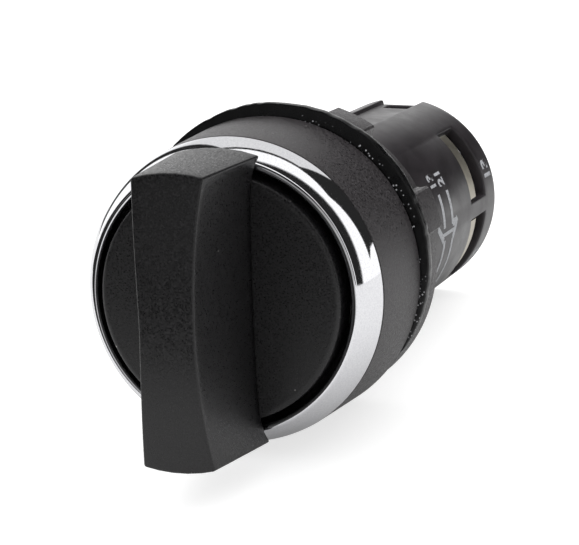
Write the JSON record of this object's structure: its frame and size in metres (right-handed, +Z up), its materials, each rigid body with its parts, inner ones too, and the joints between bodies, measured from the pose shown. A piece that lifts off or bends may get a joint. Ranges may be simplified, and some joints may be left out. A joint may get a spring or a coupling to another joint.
{
  "type": "panel selector switch",
  "caption": "Rotary selector switch for a 22 mm panel hole: black lever knob, bright ring, fixing nut, and a round contact body with side windows for wires.",
  "frame": {"origin": "on the switch's axis, in the plane of the panel's front face, which is the gasket's rear face", "axes": "+Y along the axis from the lever to the terminals, +Z up with the lever at 12 o'clock, +X to the right seen from the front"},
  "size_m": [0.031, 0.0734, 0.0311],
  "materials": {
    "knob_black": "matte moulded plastic with a fine grain",
    "collar_black": "finely textured moulded plastic, warm dark grey",
    "housing_black": "satin moulded plastic, dark grey",
    "inner_plastic": "plain moulded plastic, cream",
    "rubber": "smooth black rubber",
    "chrome": "bright polished plating",
    "steel": "zinc plated steel",
    "brass": "nickel plated brass",
    "copper": "copper alloy strip",
    "silver": "silver alloy contact rivet"
  },
  "bodies": {
    "housing": {"front_housing": "collar_black", "bezel_ring": "chrome", "shaft_seal": "rubber", "panel_gasket": "rubber", "contact_housing": "housing_black", "rear_cover": "housing_black", "terminal_13": "brass", "terminal_14": "brass", "terminal_22": "brass", "terminal_21": "brass", "fixed_rivet_13": "silver", "fixed_rivet_14": "silver", "fixed_rivet_22": "silver", "fixed_rivet_21": "silver"},
    "knob": {"knob": "knob_black", "drive_shaft": "steel", "retaining_clip": "steel", "cam": "inner_plastic", "detent_ball_1": "steel", "detent_ball_2": "steel", "detent_spring_1": "steel", "detent_spring_2": "steel"},
    "plunger": {"plunger": "inner_plastic", "open_bridge": "copper", "closed_bridge": "copper", "open_contact_spring": "steel", "closed_contact_spring": "steel", "return_spring": "steel", "moving_rivet_13": "silver", "moving_rivet_14": "silver", "moving_rivet_22": "silver", "moving_rivet_21": "silver"},
    "nut_washer": {"nut_washer": "steel"},
    "nut": {"fixing_nut": "housing_black"},
    "clamp_13": {"clamp_plate_13": "steel"},
    "screw_13": {"terminal_screw_13": "steel"},
    "clamp_14": {"clamp_plate_14": "steel"},
    "screw_14": {"terminal_screw_14": "steel"},
    "clamp_22": {"clamp_plate_22": "steel"},
    "screw_22": {"terminal_screw_22": "steel"},
    "clamp_21": {"clamp_plate_21": "steel"},
    "screw_21": {"terminal_screw_21": "steel"}
  },
  "joints": [
    {"name": "knob_turn", "type": "hinge", "parent": "housing", "child": "knob", "pos_m": [0, 0, 0], "axis": [0, 1, 0], "range_deg": [0, 90]},
    {"name": "plunger_slide", "type": "slide", "parent": "housing", "child": "plunger", "axis": [0, 1, 0], "range_m": [0, 0.003], "deforming": ["return_spring"]},
    {"name": "nut_travel", "type": "slide", "parent": "housing", "child": "nut_washer", "axis": [0, 1, 0], "range_m": [0, 0.006]},
    {"name": "nut_turn", "type": "hinge", "parent": "nut_washer", "child": "nut", "pos_m": [0, 0, 0], "axis": [0, 1, 0], "range_deg": [0, 1440]},
    {"name": "clamp_13_travel", "type": "slide", "parent": "housing", "child": "clamp_13", "axis": [0, -1, 0], "range_m": [0, 0.002]},
    {"name": "screw_13_turn", "type": "hinge", "parent": "clamp_13", "child": "screw_13", "pos_m": [0.00626, 0.0407, 0.00312], "axis": [0, -1, 0], "range_deg": [0, 1440]},
    {"name": "clamp_14_travel", "type": "slide", "parent": "housing", "child": "clamp_14", "axis": [0, -1, 0], "range_m": [0, 0.002]},
    {"name": "screw_14_turn", "type": "hinge", "parent": "clamp_14", "child": "screw_14", "pos_m": [0.00615, 0.0407, -0.00334], "axis": [0, -1, 0], "range_deg": [0, 1440]},
    {"name": "clamp_22_travel", "type": "slide", "parent": "housing", "child": "clamp_22", "axis": [0, -1, 0], "range_m": [0, 0.002]},
    {"name": "screw_22_turn", "type": "hinge", "parent": "clamp_22", "child": "screw_22", "pos_m": [-0.00615, 0.0407, -0.00334], "axis": [0, -1, 0], "range_deg": [0, 1440]},
    {"name": "clamp_21_travel", "type": "slide", "parent": "housing", "child": "clamp_21", "axis": [0, -1, 0], "range_m": [0, 0.002]},
    {"name": "screw_21_turn", "type": "hinge", "parent": "clamp_21", "child": "screw_21", "pos_m": [-0.00626, 0.0407, 0.00312], "axis": [0, -1, 0], "range_deg": [0, 1440]}
  ],
  "couplings": [
    {"joint": "plunger_slide", "follows": "knob_turn", "m_per_rad": 0.0019098},
    {"joint": "nut_travel", "follows": "nut_turn", "m_per_rad": 0.00023873},
    {"joint": "screw_13_turn", "follows": "clamp_13_travel", "rad_per_m": 12566},
    {"joint": "screw_14_turn", "follows": "clamp_14_travel", "rad_per_m": 12566},
    {"joint": "screw_22_turn", "follows": "clamp_22_travel", "rad_per_m": 12566},
    {"joint": "screw_21_turn", "follows": "clamp_21_travel", "rad_per_m": 12566}
  ]
}
